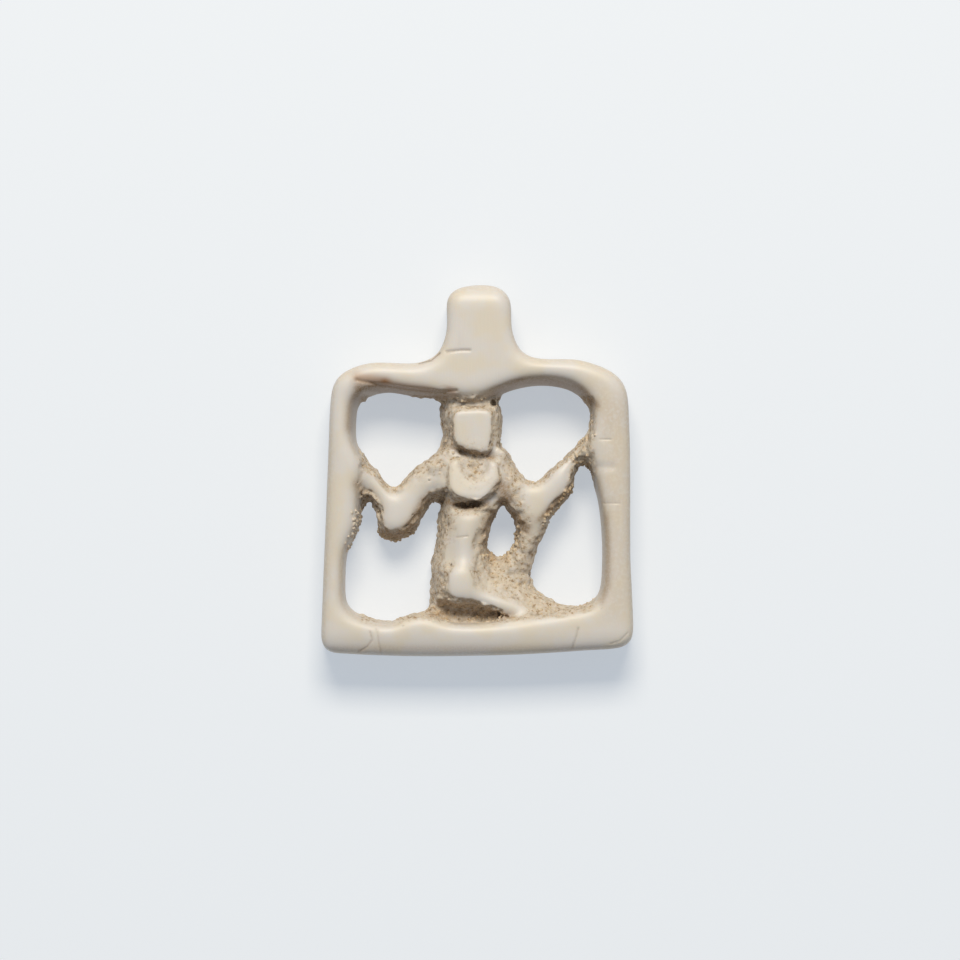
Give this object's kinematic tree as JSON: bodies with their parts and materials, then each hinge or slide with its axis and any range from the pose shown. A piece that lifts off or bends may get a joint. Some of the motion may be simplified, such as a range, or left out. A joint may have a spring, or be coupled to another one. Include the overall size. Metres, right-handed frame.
{
  "type": "heh amulet",
  "caption": "Small openwork bone amulet: a kneeling figure with raised arms in a squared frame, under a loop bored from side to side for a thread.",
  "frame": {"origin": "middle of the outline, at the flat back on which the amulet lies", "axes": "+Z out of the carved front, +Y up the figure towards the loop, +X to the viewer's right when the front is seen with the loop up"},
  "size_m": [0.021, 0.025, 0.0044],
  "materials": {
    "bone": "satin"
  },
  "bodies": {
    "root": {"amulet": "bone"}
  },
  "joints": []
}
